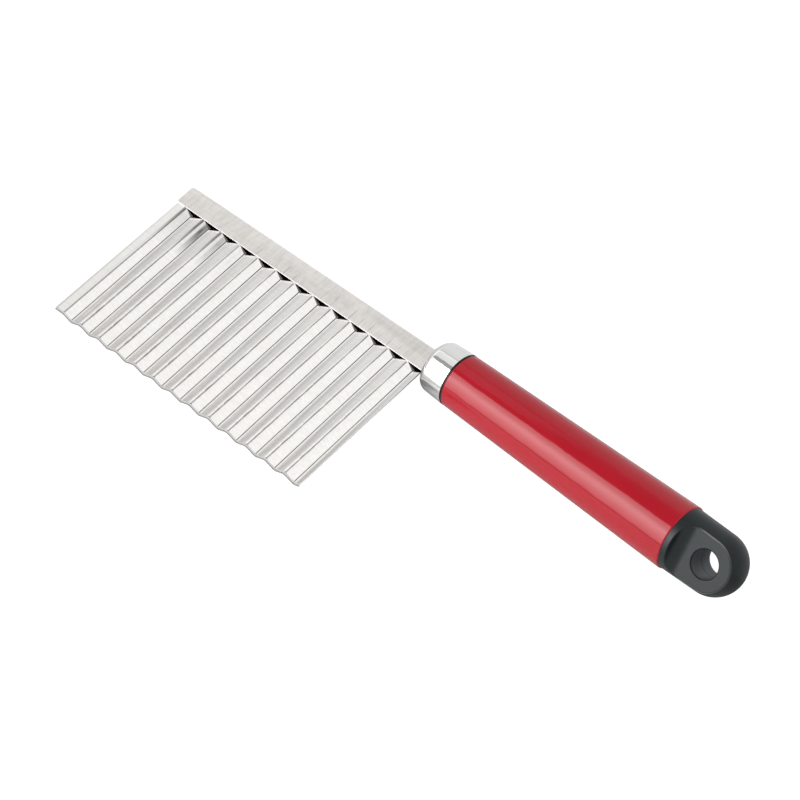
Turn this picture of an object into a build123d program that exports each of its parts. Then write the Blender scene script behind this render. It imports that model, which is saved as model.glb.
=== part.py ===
"""Crinkle-cut chip knife: a corrugated blade held in a folded spine, on a painted tube handle.

Everything is modelled in the knife's own frame, in millimetres: the origin is on the handle's axis at
the tube's front rim, +X runs back along the handle, +Y is up to the spine's back and the cutting edge
is at -Y. The last section lays the finished knife down on a table, its broad side up.
"""

from build123d import *
from math import asin, atan, atan2, cos, degrees, hypot, tan
import os

# ---------------------------------------------------------------- driving dimensions (mm, degrees)
# Corrugated blade
SHEET = 0.8                 # blade sheet thickness
WAVE_PITCH = 10.29          # valley to valley
EDGE_RISE = 2.75            # crest to valley at the cutting edge, middle line, bends drawn sharp
SPINE_RISE = 1.8            # the same at the spine, where the waves are flatter
EDGE_LEAN = 0.3             # crests stand this much nearer the heel than midway, at the cutting edge
SPINE_LEAN = 0.8            # the same at the spine
CREST_RADIUS = 2.0          # inside radius of the bend at each crest
VALLEY_RADIUS = 1.4         # inside radius of the bend at each valley
BLADE_LENGTH = 135.4        # heel to tip
BLADE_HEIGHT = 76.2         # cutting edge to the hidden top edge
BLADE_GRIP = 5.4            # depth of the blade in the channel, measured at the tip
HEEL_STRIP = 3.15           # plain strip between the heel and the first valley
HEEL_SETBACK = 0.25         # heel behind the front of the ferrule's crown
SHORTEST_TIP_STRIP = 3.0    # flat strip between the last crest and the tip
GRIND_WIDTH = 0.9           # width of the ground bevel along the cutting edge
EDGE_THICKNESS = 0.2        # sheet left at the cutting edge

# Folded spine channel and the tang that it runs on into
SPINE_WALL = 0.8
SPINE_TIP_WIDTH = 10.0      # height of the channel at its tip
SPINE_ROOT_WIDTH = 11.5     # height of the channel at the tube's front rim
SPINE_FOLD_RADIUS = 1.6     # outside radius of the folded back
SPINE_OVERHANG = 0.4        # the channel stands this far past the blade's tip
SPINE_TIP_CHAMFER = 1.3     # clipped upper corner at the tip
SPINE_DROP = 0.8            # spine's middle line below the handle's axis
SET_ANGLE = 1.2             # the blade is set this much downwards from the handle's axis
CRIMP_FIT = 0.03            # clearance left between a bend of the blade and the channel wall
TANG_LENGTH = 52.0          # tang inside the handle
TANG_WIDTH = 8.0

# Solids that only cut run this far past what they cut
CUT_MARGIN = 10.0

# Press marks that the bends leave on both sides of the channel
MARK_WIDTH = 0.5
MARK_DEPTH = 0.05
MARK_LENGTH = 4.2

# Ferrule: a drawn cap with a slot for the spine
FERRULE_LENGTH = 14.4
FERRULE_REAR_RADIUS = 11.6
FERRULE_FRONT_RADIUS = 10.8 # where the sides, drawn on, would meet the crown's apex plane
FERRULE_CROWN_RADIUS = 21.0
FERRULE_SHOULDER_ROUNDING = 3.6
FERRULE_WALL = 0.8
FERRULE_SLOT_FIT = 0.12

# Moulded core: nose in the ferrule, collar between ferrule and tube, ribbed plug in the tube
NOSE_SHORTFALL = 6.4        # the nose ends this far short of the ferrule's front
COLLAR_WIDTH = 0.7
COLLAR_RECESS = 0.35        # collar below the tube's front rim
CORE_LENGTH = 62.0          # plug inside the tube
CORE_FIT = 0.05             # radial clearance in the ferrule and in the tube
CORE_SLOT_FIT = 0.05        # clearance round the spine and the tang
FLUTE_COUNT = 4
FLUTE_RADIUS = 3.2
FLUTE_DEPTH = 2.6
FLUTE_FRONT_LAND = 6.0      # plain ring of the plug in front of the flutes

# Cross pin through core and tang
PIN_RADIUS = 1.6
PIN_POSITION = 34.0         # behind the tube's front rim
PIN_FIT = 0.02
PIN_INSET = 0.4             # pin end below the plug's surface

# Tapered handle tube with rolled rims
TUBE_LENGTH = 112.4
TUBE_FRONT_RADIUS = 11.5
TUBE_REAR_RADIUS = 13.7
TUBE_WALL = 0.7
RIM_LIP = 1.5               # each rim is turned in by this much
RIM_ROUNDING = 0.6

# End cap
CAP_SEAT_RADIUS = 13.2      # round base against the tube's rim
CAP_BODY_RADIUS = 12.9
CAP_NOSE_OFFSET = 0.4       # round end's centre behind the hanging hole
TONGUE_THICKNESS = 15.4
TONGUE_ANGLE = 48.4         # the hole's axis, turned from the blade's broad side to the cutting edge
SCOOP_START = 2.3           # round base left between the tube and the scoops
SCOOP_RADIUS = 6.0
HOLE_SETBACK = 16.2         # tube's rear rim to the middle of the hanging hole
HOLE_RADIUS = 5.8
HOLE_ROUNDING = 0.5
OUTLINE_ROUNDING = 0.5
SPIGOT_LENGTH = 16.0
SPIGOT_WALL = 2.0
SPIGOT_FIT = 0.05

# ---------------------------------------------------------------- worked-out sizes
ferrule_front = -COLLAR_WIDTH - FERRULE_LENGTH
heel_x = ferrule_front + HEEL_SETBACK
tip_x = heel_x - BLADE_LENGTH
spine_tip_x = tip_x - SPINE_OVERHANG
spine_taper = (SPINE_ROOT_WIDTH - SPINE_TIP_WIDTH) / 2 / -spine_tip_x    # on each side
top_y = BLADE_GRIP - SPINE_DROP - SPINE_TIP_WIDTH / 2
edge_y = top_y - BLADE_HEIGHT
lowest_lip_y = -SPINE_DROP - SPINE_ROOT_WIDTH / 2
blade_set = Rot(0, 0, SET_ANGLE)                          # the tip drops, about the origin
tube_rear = TUBE_LENGTH


def tube_radius(x):
    """Outside radius of the tapered tube at x."""
    return TUBE_FRONT_RADIUS + (TUBE_REAR_RADIUS - TUBE_FRONT_RADIUS) * x / TUBE_LENGTH


def plug_radius(x):
    """Radius of something that fits inside the tube at x."""
    return tube_radius(x) - TUBE_WALL - CORE_FIT


# ---------------------------------------------------------------- corrugated blade
def along_waves(y, at_spine, at_edge):
    """A size at height y that changes evenly from the spine to the cutting edge."""
    return at_spine + (at_edge - at_spine) * (lowest_lip_y - y) / (lowest_lip_y - edge_y)


def rise(y):
    """Crest to valley of the sheet's middle line at height y."""
    return along_waves(y, SPINE_RISE, EDGE_RISE)


def lean(y):
    """How far the crests stand towards the heel from midway between two valleys."""
    return along_waves(y, SPINE_LEAN, EDGE_LEAN)


def facet_angles(y):
    """Slope of the flat facets on the heel side and on the tip side of each crest."""
    half = WAVE_PITCH / 2
    return atan(rise(y) / (half - lean(y))), atan(rise(y) / (half + lean(y)))


def mitre(y):
    """How far each corner moves, along and up, when the sheet is lifted by one square to its facets."""
    heel_side, tip_side = facet_angles(y)
    spread = tan(heel_side) + tan(tip_side)
    along = (1 / cos(heel_side) - 1 / cos(tip_side)) / spread
    up = (tan(heel_side) / cos(tip_side) + tan(tip_side) / cos(heel_side)) / spread
    return along, up


def bend_face(y, inside_radius):
    """Height of a bend's outer face above the middle line's mean height."""
    _, up = mitre(y)
    return rise(y) / 2 + SHEET / 2 * up - (inside_radius + SHEET) * (up - 1)


def wave_height(y):
    """Lowest to highest point of the sheet at height y."""
    return bend_face(y, CREST_RADIUS) + bend_face(y, VALLEY_RADIUS)


def wave_points(y):
    """Sharp corners of the sheet's middle line, heel to tip: (x, z, +1 crest or -1 valley)."""
    half = WAVE_PITCH / 2
    heel_side, tip_side = facet_angles(y)
    middle = (bend_face(y, VALLEY_RADIUS) - bend_face(y, CREST_RADIUS)) / 2
    waves = int((BLADE_LENGTH - HEEL_STRIP - SHORTEST_TIP_STRIP - half) / WAVE_PITCH) + 1
    points = [(heel_x, middle - rise(y) / 2 + HEEL_STRIP * tan(tip_side), 0)]
    for wave in range(waves):
        valley_x = heel_x - HEEL_STRIP - wave * WAVE_PITCH
        points.append((valley_x, middle - rise(y) / 2, -1))
        points.append((valley_x - half + lean(y), middle + rise(y) / 2, 1))
    # The strip at the tip is flat and level with the rounded tops of the crests.
    crest_x, crest_z, _ = points.pop()
    strip_z = middle + bend_face(y, CREST_RADIUS) - SHEET / 2
    points.append((crest_x + (crest_z - strip_z) / tan(heel_side), strip_z, 1))
    points.append((tip_x, strip_z, 0))
    return points


def wave_line(y, height):
    """The bent line at a height above the sheet's lower face, with round bends."""
    lift = height - SHEET / 2
    heel_side, tip_side = facet_angles(y)
    along, up = mitre(y)
    heel, *bends, strip, tip = wave_points(y)
    corners = [(heel[0], heel[1] + lift / cos(tip_side))]
    corners += [(x + lift * along, z + lift * up) for x, z, _ in bends]
    corners += [(strip[0] + lift * tan(heel_side / 2), strip[1] + lift), (tip[0], tip[1] + lift)]
    radii = [
        CREST_RADIUS + height if side > 0 else VALLEY_RADIUS + SHEET - height
        for _, _, side in (*bends, strip)
    ]
    return FilletPolyline(*corners, radius=radii)


def wave_section(y, thickness):
    """Cross-section of the sheet at height y, from its lower face up."""
    # The section's plane has x along the blade and its y along +Z.
    plane = Plane(origin=(0, y, 0), x_dir=(1, 0, 0), z_dir=(0, -1, 0))
    low = wave_line(y, 0)
    high = wave_line(y, thickness)
    outline = Curve() + [
        *low.edges(), *high.edges(), Line(low @ 0, high @ 0), Line(low @ 1, high @ 1)
    ]
    return plane * make_face(outline.edges())


def make_blade():
    """Corrugated sheet with a bevel ground along its cutting edge, on the upper side."""
    grind_y = edge_y + GRIND_WIDTH
    sheet = loft([wave_section(top_y, SHEET), wave_section(grind_y, SHEET)], ruled=True)
    bevel = loft([wave_section(grind_y, SHEET), wave_section(edge_y, EDGE_THICKNESS)], ruled=True)
    return blade_set * (sheet + bevel)


# ---------------------------------------------------------------- spine channel and tang
channel_gap = wave_height(lowest_lip_y) + 2 * CRIMP_FIT
channel_thickness = channel_gap + 2 * SPINE_WALL


def back_y(x):
    """Height of the spine's folded back, one straight line from the tip to the tang's end."""
    return -SPINE_DROP + SPINE_ROOT_WIDTH / 2 + spine_taper * x


def lip_y(x):
    """Height of the channel's open lip."""
    return -SPINE_DROP - SPINE_ROOT_WIDTH / 2 - spine_taper * x


def spine_profile(grow=0.0):
    """Side view of channel and tang, grown by a clearance."""
    tip = spine_tip_x
    corners = [
        (tip, lip_y(tip)),
        (tip, back_y(tip) - SPINE_TIP_CHAMFER),
        (tip + SPINE_TIP_CHAMFER, back_y(tip + SPINE_TIP_CHAMFER)),
        (TANG_LENGTH, back_y(TANG_LENGTH)),
        (TANG_LENGTH, back_y(TANG_LENGTH) - TANG_WIDTH),
        (0, back_y(TANG_LENGTH) - TANG_WIDTH),
        (0, lip_y(0)),
    ]
    side = make_face(Polyline(*corners, close=True))
    return offset(side, grow, kind=Kind.INTERSECTION) if grow else side


def spine_slot(fit):
    """Solid room for channel and tang, with a clearance all round."""
    return blade_set * extrude(spine_profile(fit), channel_thickness / 2 + fit, both=True)


def bend_positions():
    """Where along the blade its bends press against the channel."""
    return [x for x, _, side in wave_points(lowest_lip_y) if side]


def press_marks():
    """Shallow V marks on both sides of the channel, one beside each bend."""
    half = channel_thickness / 2
    marks = []
    for side in (-1, 1):
        notch = Polyline(
            (-MARK_WIDTH / 2, side * half),
            (0, side * (half - MARK_DEPTH)),
            (MARK_WIDTH / 2, side * half),
            close=True,
        )
        for x in bend_positions():
            low = lip_y(x) + SPINE_WALL
            plane = Plane(origin=(x, low, 0), x_dir=(1, 0, 0), z_dir=(0, -1, 0))
            marks.append(extrude(plane * make_face(notch), -MARK_LENGTH))
    return marks


def round_back(bar, radius):
    """Round the two long edges that run along the spine's back."""
    long_edges = bar.edges().filter_by(lambda e: e.length > BLADE_LENGTH)
    return fillet(long_edges.sort_by(Axis.Y)[-2:], radius)


def make_spine():
    """One folded strip: a U channel crimped over the blade's top, running on as the tang."""
    strip = round_back(extrude(spine_profile(), channel_thickness / 2, both=True), SPINE_FOLD_RADIUS)
    tip = spine_tip_x - CUT_MARGIN
    end = TANG_LENGTH + CUT_MARGIN
    below = lip_y(0) - CUT_MARGIN
    fold = make_face(
        Polyline(
            (tip, below),
            (tip, back_y(tip) - SPINE_WALL),
            (end, back_y(end) - SPINE_WALL),
            (end, below),
            close=True,
        )
    )
    room = round_back(extrude(fold, channel_gap / 2, both=True), SPINE_FOLD_RADIUS - SPINE_WALL)
    return blade_set * (strip - room - press_marks()) - pin_room()


# ---------------------------------------------------------------- ferrule
def ferrule_side(x):
    """Outside radius of the ferrule's drawn sides at x."""
    draft = (FERRULE_REAR_RADIUS - FERRULE_FRONT_RADIUS) / FERRULE_LENGTH
    return FERRULE_REAR_RADIUS + (x + COLLAR_WIDTH) * draft


def dome(inset):
    """Turned solid of the ferrule's outside, or of its inside with an inset."""
    sides = make_face(
        Polyline(
            (-COLLAR_WIDTH, 0),
            (-COLLAR_WIDTH, FERRULE_REAR_RADIUS - inset),
            (ferrule_front, FERRULE_FRONT_RADIUS - inset),
            (ferrule_front, 0),
            close=True,
        )
    )
    crown = Pos(ferrule_front + FERRULE_CROWN_RADIUS, 0) * Circle(FERRULE_CROWN_RADIUS - inset)
    outline = sides & crown
    shoulder = outline.vertices().sort_by(Axis.Y)[-2]
    return revolve(fillet(shoulder, FERRULE_SHOULDER_ROUNDING - inset), Axis.X)


def make_ferrule():
    """Thin plated cap with a domed front, slotted where the spine goes in."""
    return dome(0) - dome(FERRULE_WALL) - spine_slot(FERRULE_SLOT_FIT)


# ---------------------------------------------------------------- core and its cross pin
def pin_room():
    """The hole for the cross pin, through everything it passes."""
    return Pos(PIN_POSITION, 0, 0) * Cylinder(PIN_RADIUS + PIN_FIT, 2 * TUBE_REAR_RADIUS)


def make_core():
    """Moulded core: domed nose, thin collar and a fluted plug, with a slot that grips the tang."""
    nose_front = ferrule_front + NOSE_SHORTFALL
    nose_gap = FERRULE_WALL + CORE_FIT
    collar_radius = TUBE_FRONT_RADIUS - COLLAR_RECESS
    neck_radius = TUBE_FRONT_RADIUS - RIM_LIP - CORE_FIT
    neck_end = TUBE_WALL + CORE_FIT
    plug = revolve(
        make_face(
            Polyline(
                (nose_front, 0),
                (nose_front, ferrule_side(nose_front) - nose_gap),
                (-COLLAR_WIDTH, ferrule_side(-COLLAR_WIDTH) - nose_gap),
                (-COLLAR_WIDTH, collar_radius),
                (0, collar_radius),
                (0, neck_radius),
                (neck_end, neck_radius),
                (neck_end, plug_radius(neck_end)),
                (CORE_LENGTH, plug_radius(CORE_LENGTH)),
                (CORE_LENGTH, 0),
                close=True,
            )
        ),
        Axis.X,
    )
    flute_start = FLUTE_FRONT_LAND + FLUTE_RADIUS
    flute_middle = plug_radius(CORE_LENGTH) - FLUTE_DEPTH + FLUTE_RADIUS
    flute = Pos(flute_start + CORE_LENGTH / 2, flute_middle, 0) * Rot(0, 90, 0) * Cylinder(
        FLUTE_RADIUS, CORE_LENGTH
    )
    flute += Pos(flute_start, flute_middle, 0) * Sphere(FLUTE_RADIUS)
    first = 180 / FLUTE_COUNT
    flutes = [Rot(first + turn * 360 / FLUTE_COUNT, 0, 0) * flute for turn in range(FLUTE_COUNT)]
    return plug - flutes - spine_slot(CORE_SLOT_FIT) - pin_room()


def make_pin():
    """Steel cross pin that keeps the tang from pulling out of the core."""
    length = 2 * (plug_radius(PIN_POSITION) - PIN_INSET)
    return Pos(PIN_POSITION, 0, 0) * Cylinder(PIN_RADIUS, length)


# ---------------------------------------------------------------- handle tube
def make_tube():
    """Painted steel tube, wider at the rear, with both rims turned in and rounded."""
    front_mouth = TUBE_FRONT_RADIUS - RIM_LIP
    rear_mouth = TUBE_REAR_RADIUS - RIM_LIP
    inner_front = TUBE_WALL
    inner_rear = tube_rear - TUBE_WALL
    outline = make_face(
        Polyline(
            (0, front_mouth),
            (0, TUBE_FRONT_RADIUS),
            (tube_rear, TUBE_REAR_RADIUS),
            (tube_rear, rear_mouth),
            (inner_rear, rear_mouth),
            (inner_rear, tube_radius(inner_rear) - TUBE_WALL),
            (inner_front, tube_radius(inner_front) - TUBE_WALL),
            (inner_front, front_mouth),
            close=True,
        )
    )
    rims = outline.vertices().filter_by(lambda v: v.Y in (TUBE_FRONT_RADIUS, TUBE_REAR_RADIUS))
    return revolve(fillet(rims, RIM_ROUNDING), Axis.X)


# ---------------------------------------------------------------- end cap
hole_x = tube_rear + HOLE_SETBACK
nose_centre = hole_x + CAP_NOSE_OFFSET


def make_cap():
    """Moulded end cap: hollow spigot, round base, scooped sides and a tongue with a hanging hole."""
    spigot_radius = TUBE_REAR_RADIUS - RIM_LIP - SPIGOT_FIT
    body = make_face(
        Curve() + [
            Line((tube_rear, 0), (tube_rear, CAP_SEAT_RADIUS)),
            Line((tube_rear, CAP_SEAT_RADIUS), (nose_centre, CAP_BODY_RADIUS)),
            CenterArc((nose_centre, 0), CAP_BODY_RADIUS, 0, 90),
            Line((nose_centre + CAP_BODY_RADIUS, 0), (tube_rear, 0)),
        ]
    )
    cap = revolve(body, Axis.X)
    reach = nose_centre + 2 * CAP_BODY_RADIUS
    half = TONGUE_THICKNESS / 2
    scoop_view = Rectangle(
        reach - tube_rear - SCOOP_START, 2 * CAP_BODY_RADIUS, align=(Align.MIN, Align.MIN)
    )
    scoop_view = fillet(scoop_view.vertices().sort_by(Axis.X)[:2].sort_by(Axis.Y)[0], SCOOP_RADIUS)
    plane = Plane(origin=(tube_rear + SCOOP_START, 0, half), x_dir=(1, 0, 0), z_dir=(0, -1, 0))
    scoop = extrude(plane * scoop_view, 2 * CAP_BODY_RADIUS, both=True)
    cap -= [scoop, mirror(scoop, Plane.XY)]
    cap -= Pos(hole_x, 0, 0) * Cylinder(HOLE_RADIUS, 2 * TONGUE_THICKNESS)
    rims = cap.edges().filter_by(GeomType.CIRCLE).filter_by(lambda e: abs(e.radius - HOLE_RADIUS) < 0.01)
    cap = fillet(rims, HOLE_ROUNDING)
    flats = cap.faces().filter_by(Plane.XY).filter_by(lambda f: abs(abs(f.center().Z) - half) < 0.01)
    cap = fillet([flat.outer_wire().edges() for flat in flats], OUTLINE_ROUNDING)
    spigot = Pos(tube_rear, 0, 0) * Rot(0, 90, 0) * Cylinder(
        spigot_radius, SPIGOT_LENGTH, align=(Align.CENTER, Align.CENTER, Align.MAX)
    )
    room = Pos(tube_rear, 0, 0) * Rot(0, 90, 0) * Cylinder(
        spigot_radius - SPIGOT_WALL, SPIGOT_LENGTH, align=(Align.CENTER, Align.CENTER, Align.MAX)
    )
    return Rot(TONGUE_ANGLE, 0, 0) * (cap + (spigot - room))


# ---------------------------------------------------------------- assembly, laid on a table
pieces = {
    "corrugated_blade": make_blade(),
    "spine_channel": make_spine(),
    "ferrule": make_ferrule(),
    "handle_core": make_core(),
    "tang_pin": make_pin(),
    "handle_tube": make_tube(),
    "end_cap": make_cap(),
}


def lay_down():
    """Roll and tilt that rest the ferrule's rim, the tube and the tip of the cutting edge on a table."""
    rim_x = -COLLAR_WIDTH
    rear_x = tube_rear - RIM_ROUNDING
    taper = atan((tube_radius(rear_x) - FERRULE_REAR_RADIUS) / (rear_x - rim_x))
    last_valley = min(x for x, _, side in wave_points(edge_y) if side < 0)
    touch = (blade_set * Pos(last_valley, edge_y, -wave_height(edge_y) / 2)).position
    floor_z = -FERRULE_REAR_RADIUS - (touch.X - rim_x) * tan(taper)
    roll = asin(-floor_z / hypot(touch.Y, touch.Z)) - atan2(-touch.Z, -touch.Y)
    return Rot(0, -degrees(taper), 0) * Rot(degrees(roll), 0, 0)


laid = {name: lay_down() * piece for name, piece in pieces.items()}
box = Compound([piece.solid() for piece in laid.values()]).bounding_box()
centring = Pos(-box.center().X, -box.center().Y, -box.min.Z)

os.makedirs("parts", exist_ok=True)
for name, piece in laid.items():
    export_step(centring * piece, f"parts/{name}.step")
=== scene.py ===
"""A crinkle-cut chip knife, finished piece by piece in the order that it is put together.

Lengths are in metres. The knife lies on the table with its broad side up. Its own frame starts on the
handle's axis at the tube's front rim, with X back along the handle, Y up to the spine's back and Z out
of the broad side.
"""

from math import pi, radians

import bmesh
import bpy
from mathutils import Euler, Matrix, Vector


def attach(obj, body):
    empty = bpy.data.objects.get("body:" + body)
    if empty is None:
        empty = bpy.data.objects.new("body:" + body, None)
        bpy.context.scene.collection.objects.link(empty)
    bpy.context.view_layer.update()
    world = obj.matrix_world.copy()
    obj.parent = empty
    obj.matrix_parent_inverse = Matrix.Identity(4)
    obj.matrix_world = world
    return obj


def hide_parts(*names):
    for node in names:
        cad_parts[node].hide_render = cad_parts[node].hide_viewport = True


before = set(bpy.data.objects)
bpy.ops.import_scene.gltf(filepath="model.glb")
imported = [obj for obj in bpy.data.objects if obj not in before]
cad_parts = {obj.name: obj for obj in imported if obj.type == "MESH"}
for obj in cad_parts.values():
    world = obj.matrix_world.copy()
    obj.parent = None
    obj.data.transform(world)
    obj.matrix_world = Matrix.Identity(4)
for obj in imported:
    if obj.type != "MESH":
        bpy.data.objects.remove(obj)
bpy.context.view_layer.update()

# ---- The corrugated blade: one pressed sheet of stainless steel, 0.8 mm thick, rolled and lightly
# brushed before pressing. Its facets are flat, its crests are broad bends and its valleys tight ones,
# and the waves grow from the spine to the ground cutting edge.
MM = 0.001
KNIFE_ORIGIN = Vector((4.405, 32.8841, 11.611)) * MM
KNIFE_TURN = Euler((radians(5.4324), radians(-1.0634), 0))
BLADE_SET = radians(1.2)
BLADE_FRAME = Matrix.LocRotScale(KNIFE_ORIGIN, KNIFE_TURN, None) @ Matrix.Rotation(BLADE_SET, 4, "Z")
WELD_DISTANCE = 0.002 * MM
BEND_CREASE = radians(35)
WAVE_PITCH = 10.29 * MM
FIRST_VALLEY = -18.0 * MM
BLADE_TIP = -150.25 * MM
SPINE_LIP = -6.55 * MM
LIP_SLOPE = -0.0050
CREST_TOP = 1.15 * MM
POCKET_SLOPE = 1.15
CUTTING_EDGE = -76.6 * MM
GRIND_WIDTH = 0.9 * MM
EDGE_SHADE_WIDTH = 0.25 * MM
SHEET_GREYS = (0.82, 0.80, 0.775), (0.90, 0.885, 0.865)
# Greys of painted shade: a half shade on valley sides and crests, a deep shade in the valleys, in the
# pockets under the lip and, as a painted dark reflection, on the waves next to the tip.
HALF_SHADE_GREY = (0.60, 0.585, 0.565)
DEEP_SHADE_GREY = (0.14, 0.135, 0.13)
GROUND_GREYS = (0.82, 0.81, 0.80), (0.94, 0.93, 0.92)
EDGE_SHADE_GREY = (0.40, 0.395, 0.385)

# A soft edge is a pair: where a mark starts to change and where it has changed. The painted crest shade's
# is in waves from the crest, the painted dark reflection's foot is down from the lip.
CREST_SHADE_EDGE = 0.012, 0.035
POCKET_EDGE = -0.1 * MM, 0.15 * MM
SECOND_WAVE = BLADE_TIP + 9 * MM, BLADE_TIP + 12 * MM
REFLECTION_FOOT = 5 * MM, 20 * MM
REFLECTION_END = BLADE_TIP + 20 * MM, BLADE_TIP + 40 * MM
EDGE_SHADE_BAND = CUTTING_EDGE + EDGE_SHADE_WIDTH, CUTTING_EDGE + 2 * EDGE_SHADE_WIDTH


class Pattern:
    """A number, colour or place that varies over a surface. What is done with it adds nodes."""

    def __init__(self, nodes, output):
        self.nodes = nodes
        self.output = output

    def __add__(self, other):
        return self.nodes.calculate("ADD", self, other)

    def __sub__(self, other):
        return self.nodes.calculate("SUBTRACT", self, other)

    def __rsub__(self, other):
        return self.nodes.calculate("SUBTRACT", other, self)

    def __mul__(self, other):
        return self.nodes.calculate("MULTIPLY", self, other)

    def __truediv__(self, other):
        return self.nodes.calculate("DIVIDE", self, other)

    def __pow__(self, power):
        return self.nodes.calculate("POWER", self, power)

    def __abs__(self):
        return self.nodes.calculate("ABSOLUTE", self)

    def joined(self, other):
        """Two marks together: at each place, the stronger one."""
        return self.nodes.calculate("MAXIMUM", self, other)

    def between(self, low, high, start=0.3, end=0.7):
        """Brought from start..end to low..high. Most of a noise lies in 0.3..0.7."""
        return self.nodes.put(
            "MapRange", "Result", Value=self, From_Min=start, From_Max=end, To_Min=low, To_Max=high
        )

    def rising(self, start, end):
        """From 0 at start to 1 at end."""
        return self.between(0, 1, start, end)

    def falling(self, start, end):
        """From 1 at start to 0 at end."""
        return self.between(1, 0, start, end)

    def greys(self, *stops):
        """Greys that change with it: each stop is (value, grey)."""
        ramp = self.nodes.add("ValToRGB", Fac=self)
        while len(ramp.color_ramp.elements) < len(stops):
            ramp.color_ramp.elements.new(0.5)
        for element, (position, grey) in zip(ramp.color_ramp.elements, stops):
            element.position = position
            element.color = (grey, grey, grey, 1)
        return Pattern(self.nodes, ramp.outputs["Color"])

    def blend(self, first, second):
        """Two colours, or patterns of colours, mixed: 0 gives the first and 1 the second."""
        mix = self.nodes.add("Mix", data_type="RGBA", Factor=self)
        self.nodes.feed(mix.inputs[6], first)
        self.nodes.feed(mix.inputs[7], second)
        return Pattern(self.nodes, mix.outputs[2])

    def axes(self):
        """The X, Y and Z of a place, each by itself."""
        parts = self.nodes.add("SeparateXYZ", Vector=self)
        return [Pattern(self.nodes, parts.outputs[axis]) for axis in "XYZ"]

    def streaks(self, scale, detail=3.0):
        """Noise over a place. The scale is its changes per metre along X, Y and Z: where one axis has
        fewer, it is drawn out into scratches along that axis, and where all are alike, it is a cloud."""
        squeezed = self.nodes.put("Mapping", "Vector", Vector=self, Scale=scale)
        return self.nodes.put("TexNoise", "Fac", Vector=squeezed, Scale=1.0, Detail=detail, Roughness=0.6)

    def relief(self, strength, distance):
        """Fine relief of the surface, with this as its height."""
        return self.nodes.put("Bump", "Normal", Height=self, Strength=strength, Distance=distance)


class Nodes:
    """The nodes of a finish, of a light or of the room."""

    def __init__(self, tree):
        self.tree = tree

    def feed(self, socket, value):
        """Link a pattern to a socket, or set the socket to a number, a direction or a colour."""
        if isinstance(value, Pattern):
            self.tree.links.new(value.output, socket)
        elif socket.type == "RGBA":
            socket.default_value = (*value, 1)
        else:
            socket.default_value = value

    def add(self, kind, **settings):
        """A new node with its settings and its inputs."""
        node = self.tree.nodes.new("ShaderNode" + kind)
        for name, value in settings.items():
            if name in node.bl_rna.properties:
                setattr(node, name, value)
            else:
                self.feed(node.inputs[name.replace("_", " ")], value)
        return node

    def put(self, kind, output, **settings):
        """A new node, of which one output is used."""
        return Pattern(self, self.add(kind, **settings).outputs[output])

    def calculate(self, operation, *numbers):
        """One step of arithmetic on patterns and numbers."""
        step = self.add("Math", operation=operation)
        for socket, number in zip(step.inputs, numbers):
            self.feed(socket, number)
        return Pattern(self, step.outputs["Value"])


class Finish(Nodes):
    """A material, and the places on the knife that its patterns follow."""

    def __init__(self, name):
        self.material = bpy.data.materials.new(name)
        self.material.use_nodes = True
        super().__init__(self.material.node_tree)

    def along_knife(self, turn=0.0):
        """Places in the knife's own frame, turned about its Z for a piece that is set at an angle."""
        place = self.put("TexCoord", "Object")
        place = self.placed(place, KNIFE_ORIGIN, KNIFE_TURN)
        return self.placed(place, (0, 0, 0), (0, 0, turn)) if turn else place

    def placed(self, place, origin, turn):
        """Places measured from another origin, along turned axes."""
        return self.put(
            "Mapping", "Vector", vector_type="TEXTURE", Vector=place, Location=origin, Rotation=turn
        )

    def shader(self, **sockets):
        """Set the shader's sockets, or feed them with patterns."""
        principled = self.tree.nodes["Principled BSDF"]
        for name, value in sockets.items():
            self.feed(principled.inputs[name.replace("_", " ")], value)


def skin_of(node, name, crease, finish, cut_finish=None, is_cut=None):
    """A node's loose triangles merged into one skin that shades smoothly except at its creases.

    is_cut(middle, normal), in the blade's frame, picks the faces that get the cut finish.
    """
    piece = bpy.data.objects.new(name, bpy.data.meshes.new(name))
    bpy.context.scene.collection.objects.link(piece)
    skin = bmesh.new()
    skin.from_mesh(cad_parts[node].data)
    bmesh.ops.remove_doubles(skin, verts=skin.verts, dist=WELD_DISTANCE)
    skin.normal_update()
    for face in skin.faces:
        face.smooth = True
        middle = BLADE_FRAME.inverted() @ face.calc_center_median()
        normal = BLADE_FRAME.to_3x3().inverted() @ face.normal
        face.material_index = int(is_cut is not None and is_cut(middle, normal))
    for edge in skin.edges:
        edge.smooth = edge.is_manifold and edge.calc_face_angle() < crease
    skin.to_mesh(piece.data)
    skin.free()
    even = piece.modifiers.new("even shading", "WEIGHTED_NORMAL")
    even.keep_sharp = True
    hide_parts(node)
    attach(piece, "root")
    piece.data.materials.append(finish.material)
    if cut_finish:
        piece.data.materials.append(cut_finish.material)
    return piece


def count_waves(along):
    """How many waves a place is from the first valley: whole numbers are valleys."""
    return (along - FIRST_VALLEY) / WAVE_PITCH


def is_ground(middle, _):
    """Whether a face of the blade is on the bevel of the cutting edge."""
    return middle.y < CUTTING_EDGE + GRIND_WIDTH


blade_steel = Finish("rolled stainless sheet")
place = blade_steel.along_knife(BLADE_SET)
along, up, height = place.axes()
grain = place.streaks((60, 900, 900))
mottle = place.streaks((500, 500, 500), detail=4.0)
to_edge = up.rising(SPINE_LIP, CUTTING_EDGE)
# The marks that repeat with the waves are set by how far a place is past its valley, in waves.
past_valley = blade_steel.calculate("FRACT", count_waves(along))
# Painted shade: a darker strip beside each valley, where the facet turns steeply away from the light,
# stronger towards the cutting edge.
valley_side_shade = past_valley.greys((0, 0), (0.07, 0), (0.11, 1), (0.2, 0.85), (0.28, 0))
valley_side_shade = valley_side_shade * to_edge.between(0.3, 1, 0, 1)
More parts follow.
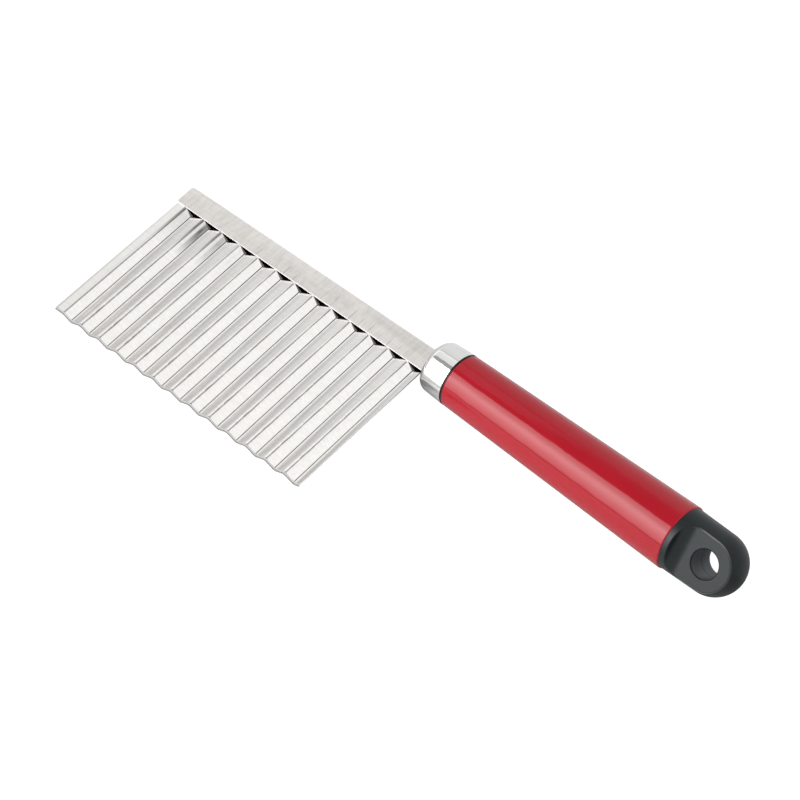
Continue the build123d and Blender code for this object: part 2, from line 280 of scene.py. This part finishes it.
# Painted shade along each crest, where the bend mirrors a dark part of the room, most of all under the
# spine.
crest = to_edge.between(0.53, 0.47, 0, 1)
crest_shade = abs(past_valley - crest).falling(*CREST_SHADE_EDGE) * to_edge.between(0.7, 0, 0, 0.8)
# Painted shade fills the bottom of each valley and the pockets that the crests leave under the lip, where
# the channel's shadow falls, and a painted dark reflection lies over the waves next to the tip.
valley_shade = past_valley.greys((0, 0.6), (0.012, 0), (0.955, 0), (0.97, 1), (1, 1))
valley_shade = valley_shade * to_edge.between(1, 0.6, 0, 0.5)
under_lip = along * LIP_SLOPE + SPINE_LIP - up
pocket_shade = ((CREST_TOP - height) * POCKET_SLOPE - under_lip).rising(*POCKET_EDGE)
beside_crest = past_valley.greys((0, 0), (0.52, 0), (0.55, 1), (0.61, 0.8), (0.67, 0.22), (1, 0.22))
beside_valley = past_valley.greys((0, 0), (0.74, 0), (0.8, 0.78), (0.95, 0.78))
beside_valley = beside_valley * along.rising(*SECOND_WAVE)
# A painted dark reflection of the room lies on the first waves by the tip, fading down from the lip.
dark_reflection = place.streaks((450, 60, 450)).between(0.75, 1, 0.36, 0.54) * (beside_crest + beside_valley)
dark_reflection = dark_reflection * under_lip.falling(*REFLECTION_FOOT) * along.falling(*REFLECTION_END)
tone = grain.between(0, 1).blend(*SHEET_GREYS)
tone = valley_side_shade.joined(crest_shade).blend(tone, HALF_SHADE_GREY)
blade_steel.shader(
    Base_Color=valley_shade.joined(pocket_shade).joined(dark_reflection).blend(tone, DEEP_SHADE_GREY),
    Metallic=1.0,
    Anisotropic=0.3,
    Roughness=mottle.between(0.14, 0.20),
    Normal=grain.relief(strength=0.15, distance=0.02 * MM),
)

ground_steel = Finish("ground edge steel")
place = ground_steel.along_knife(BLADE_SET)
_, up, _ = place.axes()
scratches = place.streaks((1800, 60, 900))
# The ground bevel is pale and scatters light; its lowest line is painted darker, a painted shade of the
# edge's underside.
ground_steel.shader(
    Base_Color=up.falling(*EDGE_SHADE_BAND).blend(scratches.blend(*GROUND_GREYS), EDGE_SHADE_GREY),
    Metallic=0.1,
    Roughness=scratches.between(0.40, 0.55),
)

blade = skin_of("corrugated_blade", "wavy_blade", BEND_CREASE, blade_steel, ground_steel, is_ground)

# ---- The spine: one strip of stainless steel folded over the blade's top and crimped on it, satin
# brushed along its length, with faint press marks where the bends of the blade bear against it.
MARK_EDGE = 0.015, 0.05
MARK_TOP = SPINE_LIP + 4 * MM, SPINE_LIP + 8 * MM
STRIP_GREYS = (0.86, 0.83, 0.79), (0.96, 0.94, 0.905)
RUBBED_GREY = (0.61, 0.59, 0.555)
MARK_GREY = (0.46, 0.45, 0.43)
SHEARED_GREYS = (0.86, 0.85, 0.84), (0.92, 0.91, 0.90)
SHEARED_FACING = -0.9


def is_sheared(_, normal):
    """Whether a face of the strip is a sheared one, which looks to the tip or down at the lip."""
    return min(normal.x, normal.y) < SHEARED_FACING


spine_steel = Finish("satin stainless strip")
place = spine_steel.along_knife(BLADE_SET)
along, up, _ = place.axes()
grain = place.streaks((25, 1800, 1800), detail=4.0)
soft = place.streaks((60, 300, 300))
rubbed = place.streaks((700, 170, 700), detail=4.0)
uneven = place.streaks((210, 90, 40), detail=2.0)
# Bends are half a wave apart; this is how many such steps a place is from the nearest one.
from_bend = spine_steel.calculate("PINGPONG", count_waves(along) * 2, 0.5)
mark = from_bend.between(0.8, 0, *MARK_EDGE) * uneven.rising(0.48, 0.58) * up.falling(*MARK_TOP)
tone = grain.between(0, 1).blend(*STRIP_GREYS)
tone = rubbed.between(0, 0.4, 0.42, 0.72).blend(tone, RUBBED_GREY)
spine_steel.shader(
    Base_Color=mark.blend(tone, MARK_GREY),
    Metallic=1.0,
    Anisotropic=0.5,
    Roughness=soft.between(0.30, 0.40),
    Normal=grain.relief(strength=0.2, distance=0.02 * MM),
)

sheared_steel = Finish("sheared strip edge")
tear = sheared_steel.along_knife(BLADE_SET).streaks((900, 200, 300))
sheared_steel.shader(
    Base_Color=tear.blend(*SHEARED_GREYS),
    Roughness=tear.between(0.45, 0.6),
)

spine = skin_of("spine_channel", "folded_spine", BEND_CREASE, spine_steel, sheared_steel, is_sheared)

# ---- The tang's cross pin: a plain ground steel pin inside the handle, through core and tang. It is
# the CAD node itself, with a finish.
PIN_GREYS = (0.5, 0.5, 0.5), (0.62, 0.61, 0.6)

pin_steel = Finish("ground pin steel")
grain = pin_steel.along_knife().streaks((900, 60, 900))
pin_steel.shader(
    Base_Color=grain.blend(*PIN_GREYS),
    Metallic=1.0,
    Roughness=grain.between(0.3, 0.45),
)
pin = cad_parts["tang_pin"]
pin.data.materials.clear()
pin.data.materials.append(pin_steel.material)

# ---- The handle core: black moulded plastic that fills ferrule and tube. Only its thin collar shows,
# as a dark ring between the two.
CORE_BLACKS = (0.005, 0.004, 0.004), (0.010, 0.008, 0.008)
CORNER_CREASE = radians(30)

core_plastic = Finish("black core plastic")
cloud = core_plastic.along_knife().streaks((700, 700, 700))
core_plastic.shader(
    Base_Color=cloud.blend(*CORE_BLACKS),
    IOR=1.3,
    Roughness=cloud.between(0.35, 0.5),
)
skin_of("handle_core", "moulded_core", CORNER_CREASE, core_plastic)

# ---- The ferrule: a drawn steel cap, polished and chrome plated, slotted for the spine. Its plating
# has the slight haze of polishing.
PLATING_GREYS = (0.80, 0.80, 0.79), (0.86, 0.86, 0.855)

plating = Finish("bright plating")
haze = plating.along_knife().streaks((300, 300, 300))
plating.shader(
    Base_Color=haze.blend(*PLATING_GREYS),
    Metallic=1.0,
    Roughness=haze.between(0.05, 0.09),
    Normal=haze.relief(strength=0.04, distance=0.05 * MM),
)
skin_of("ferrule", "plated_ferrule", CORNER_CREASE, plating)

# ---- The handle tube: thin steel tube, tapered, its rims rolled in, with a glossy red stoved paint.
# A fine dark line, slightly grooved, runs along it at one roll.
ROLLED_RIM_CREASE = radians(50)
DARK_LINE_ROLL = radians(145.6)
DARK_LINE_EDGE = 0.006, 0.016
PAINT_REDS = (0.255, 0.0025, 0.009), (0.275, 0.0032, 0.011)
DARK_LINE_RED = (0.16, 0.001, 0.004)

red_paint = Finish("stoved red paint")
place = red_paint.along_knife()
_, across, height = place.axes()
peel = place.streaks((260, 260, 260), detail=1.0)
cloud = place.streaks((40, 120, 120))
roll = red_paint.calculate("ARCTAN2", height, across)
dark_line = abs(roll - DARK_LINE_ROLL).falling(*DARK_LINE_EDGE)
red_paint.shader(
    Base_Color=dark_line.blend(cloud.between(0, 1).blend(*PAINT_REDS), DARK_LINE_RED),
    IOR=1.42,
    Roughness=cloud.between(0.10, 0.13),
    Normal=(peel * 0.1 - dark_line).relief(strength=0.2, distance=0.02 * MM),
)
skin_of("handle_tube", "painted_tube", ROLLED_RIM_CREASE, red_paint)

# ---- The end cap: satin black moulded plastic, pushed into the tube, scooped on both sides to a
# tongue with a hanging hole.
TONGUE_ROLL = radians(48.4)
HOLE_PLACE = 128.6 * MM
HOLE_WALL = 5.95 * MM
PARTING_HEIGHT = -1 * MM
CAP_BLACKS = (0.0040, 0.0068, 0.0076), (0.0082, 0.0120, 0.0132)
WALL_LIGHT_GREY = (0.058, 0.068, 0.078)
LINE_BLACK = (0.002, 0.002, 0.002)
RIM_HIGHLIGHT_GREY = (0.13, 0.136, 0.136)

# Soft edges on the cap: out from the hole's axis, up from the tongue's middle, and back from the hole.
WALL_EDGE = HOLE_WALL, HOLE_WALL + 0.1 * MM
MOUTH_BORDER = HOLE_WALL + 0.3 * MM, HOLE_WALL + 0.5 * MM
RIM_CLEAR_OF_HOLE = HOLE_WALL + 1 * MM, HOLE_WALL + 2 * MM
PARTING_EDGE = 0.2 * MM, 0.35 * MM
MOUTH_EDGE = 7.1 * MM, 7.3 * MM
RIM_HEIGHTS = 7.1 * MM, 7.8 * MM
RIM_START = -9 * MM, -6 * MM
RIM_FADE = 0, 9 * MM

cap_plastic = Finish("satin black plastic")
place = cap_plastic.along_knife()
cloud = place.streaks((150, 150, 150))
pores = place.streaks((2500, 2500, 2500))
along, across, height = cap_plastic.placed(place, (HOLE_PLACE, 0, 0), (TONGUE_ROLL, 0, 0)).axes()
from_axis = cap_plastic.calculate("SQRT", along**2 + across**2)
from_middle = abs(height)
# The hole's wall is painted paler, painted light for the light that reaches into the hole, with the line
# in it where the two core pins of the mould meet. A dark line goes round its mouth.
wall = from_axis.falling(*WALL_EDGE)
parting = wall * abs(height - PARTING_HEIGHT).falling(*PARTING_EDGE)
mouth = from_middle.rising(*MOUTH_EDGE) * from_axis.falling(*MOUTH_BORDER)
# The rounded outline of the tongue is painted paler: a painted highlight along its rounding, fading back.
rim_highlight = from_middle.rising(*RIM_HEIGHTS).greys((0, 0), (0.25, 1), (0.6, 1), (0.8, 0))
rim_highlight = rim_highlight * from_axis.rising(*RIM_CLEAR_OF_HOLE)
rim_highlight = rim_highlight * along.rising(*RIM_START) * along.between(1, 0.25, *RIM_FADE)
tone = wall.blend(cloud.blend(*CAP_BLACKS), WALL_LIGHT_GREY)
tone = mouth.joined(parting).blend(tone, LINE_BLACK)
cap_plastic.shader(
    Base_Color=rim_highlight.blend(tone, RIM_HIGHLIGHT_GREY),
    IOR=1.35,
    Roughness=cloud.between(0.30, 0.42),
    Normal=pores.relief(strength=0.12, distance=0.03 * MM),
)
skin_of("end_cap", "hanging_cap", CORNER_CREASE, cap_plastic)

# ---- The table and the room: a white table that glows a little, so that it stays white in shadow, and
# a sheet over it that only gloss sees, painted darker near the knife as a painted shadow. The room is
# pale, its top dark.
TABLE_REACH = 2.5
TABLE_GREYS = (0.24, 0.24, 0.24), (0.26, 0.26, 0.26)
WHITE = (1, 1, 1)
BLACK = (0, 0, 0)
GLOSS_HEIGHT = 0.01 * MM
SHADE_REACH = 100 * MM
KNIFE_LINE = -1 * MM, 1 * MM
GLOW_SKEW = 0.43
GLOW_END = 4 * MM, 9 * MM
ROOM_LEFT = -0.9, -0.55


def lay_sheet(name, finish, height):
    """A flat sheet of the stage."""
    grid = bmesh.new()
    bmesh.ops.create_grid(grid, x_segments=1, y_segments=1, size=TABLE_REACH)
    bmesh.ops.translate(grid, verts=grid.verts, vec=(0, 0, height))
    sheet = bpy.data.objects.new(name, bpy.data.meshes.new(name))
    grid.to_mesh(sheet.data)
    grid.free()
    bpy.context.scene.collection.objects.link(sheet)
    sheet.data.materials.append(finish.material)
    return sheet


table_paint = Finish("white table")
table_paint.shader(
    Base_Color=table_paint.put("TexCoord", "Object").streaks((6, 6, 6)).blend(*TABLE_GREYS),
    Roughness=0.8,
    Specular_IOR_Level=0.0,
    Emission_Color=WHITE,
    Emission_Strength=0.92,
)
table = lay_sheet("table", table_paint, 0)
table.visible_glossy = False

gloss_paint = Finish("table in the gloss")
along, across, _ = gloss_paint.put("TexCoord", "Object").axes()
across = across - KNIFE_ORIGIN.y
distance = abs(across)
away = distance.rising(0, SHADE_REACH)
# Painted shadow: the gloss sheet is darker the nearer it is to the knife's line, behind it and before it.
behind = away.greys((0, 0.24), (0.1, 0.3), (0.17, 0.42), (0.27, 0.5), (0.4, 0.54), (0.7, 0.55))
before = away.greys((0, 0.26), (0.1, 0.36), (0.17, 0.52), (0.27, 0.66), (0.4, 0.78), (0.7, 0.8))
# A glowing patch of the gloss sheet in front of the ferrule, painted light with no lamp behind it, shows
# as a painted reflection of light on the ferrule's lower side.
painted_glow = away.greys((0.28, 0), (0.34, 0.45), (0.42, 0.62), (0.64, 0.7), (0.95, 0.15))
beside = (along + distance * GLOW_SKEW).falling(*GLOW_END) * across.falling(*KNIFE_LINE)
gloss_paint.shader(
    Base_Color=across.rising(*KNIFE_LINE).blend(before, behind),
    Specular_IOR_Level=0.0,
    Emission_Color=beside.blend(BLACK, painted_glow),
    Emission_Strength=1.0,
)
gloss = lay_sheet("table_gloss", gloss_paint, GLOSS_HEIGHT)
gloss.visible_camera = False
gloss.visible_diffuse = False
gloss.visible_shadow = False

room = bpy.data.worlds.new("room")
bpy.context.scene.world = room
room.use_nodes = True
room_nodes = Nodes(room.node_tree)
to_right, _, up = room_nodes.put("TexCoord", "Generated").axes()
left = up.greys((0, 0.42), (0.15, 0.56), (0.3, 0.76), (0.45, 0.9), (0.62, 0.92), (0.8, 0.42), (1, 0.25))
elsewhere = up.greys((0, 0.84), (0.45, 0.84), (0.68, 0.8), (0.8, 0.42), (0.9, 0.3), (1, 0.25))
walls = to_right.falling(*ROOM_LEFT).blend(elsewhere, left)
room_nodes.feed(room.node_tree.nodes["Background"].inputs["Color"], walls)

# ---- The lights: the key, a large graded softbox in front, two softboxes high on the right and the
# left, and a low fill from behind. The key is kept off the bare steel, which would mirror it as a white
# glare; the strip's sheared lip has a small light of its own instead.
HANDLE_MIDDLE = Vector((0.06, 0.033, 0.012))
TO_KEY = Vector((0, -0.801, 0.599))
KEY_SHIFT = Vector((-0.48, 0, 0))
TO_LIP_LIGHT = Vector((-0.07, -0.95, 0.35))
OVER_RIGHT = Vector((0.245, 0.35, 0.9))
OVER_LEFT = Vector((-0.76, 0.24, 0.9))
TO_FAR_FILL = Vector((0, 1.25, 0.33))
DOWN = Vector((0, 0, -1))


def softbox(name, centre, facing, width, height, radiance):
    """A rectangular soft light: its brightness is what a mirror shows of it."""
    light = bpy.data.lights.new(name, "AREA")
    light.shape = "RECTANGLE"
    light.size = width
    light.size_y = height
    light.energy = radiance * pi * width * height
    lamp = bpy.data.objects.new(name, light)
    lamp.location = centre
    lamp.rotation_euler = facing.to_track_quat("-Z", "Y").to_euler()
    bpy.context.scene.collection.objects.link(lamp)
    return lamp


def link_light(lamp, pieces, state):
    """Keep a light to some pieces, or keep it off them: state is INCLUDE or EXCLUDE."""
    linked = bpy.data.collections.new(lamp.name)
    for piece in pieces:
        linked.objects.link(piece)
    for entry in linked.collection_objects:
        entry.light_linking.link_state = state
    lamp.light_linking.receiver_collection = linked


key_centre = HANDLE_MIDDLE + TO_KEY + KEY_SHIFT
key = softbox("key softbox", key_centre, -TO_KEY, width=1.2, height=1.286, radiance=7.0)
key.data.use_nodes = True
key_nodes = Nodes(key.data.node_tree)
_, rise, _ = key_nodes.put("NewGeometry", "Parametric").axes()
glow = rise.greys((0, 0.31), (0.25, 0.49), (0.585, 0.95), (0.82, 0.55), (1, 0.48))
key_nodes.feed(key.data.node_tree.nodes["Emission"].inputs["Color"], glow)
link_light(key, (blade, spine), "EXCLUDE")
lip_light = softbox("lip light", TO_LIP_LIGHT, -TO_LIP_LIGHT, width=1.2, height=0.8, radiance=3.8)
lip_light.visible_glossy = False
link_light(lip_light, (spine,), "INCLUDE")
softbox("right softbox", OVER_RIGHT, DOWN, width=0.73, height=0.8, radiance=0.78)
softbox("left softbox", OVER_LEFT, DOWN, width=0.7, height=0.52, radiance=0.5)
far_fill = softbox("far fill", TO_FAR_FILL, -TO_FAR_FILL, width=1.2, height=0.5, radiance=3.6)
far_fill.visible_glossy = False

# ---- The camera: a long lens that looks down on the knife from the front right, turned so that the
# blade lies to the upper left and the handle runs down to the lower right.
CAMERA_PLACE = (0.498512, -0.525806, 0.915027)
CAMERA_TURN = (radians(39.1591), radians(-0.2772), radians(43.6381))

lens = bpy.data.cameras.new("camera")
lens.lens = 135
lens.sensor_width = 36
lens.clip_end = 20
camera = bpy.data.objects.new("camera", lens)
camera.location = CAMERA_PLACE
camera.rotation_euler = CAMERA_TURN
bpy.context.scene.collection.objects.link(camera)
bpy.context.scene.camera = camera
bpy.context.scene.view_settings.view_transform = "Standard"
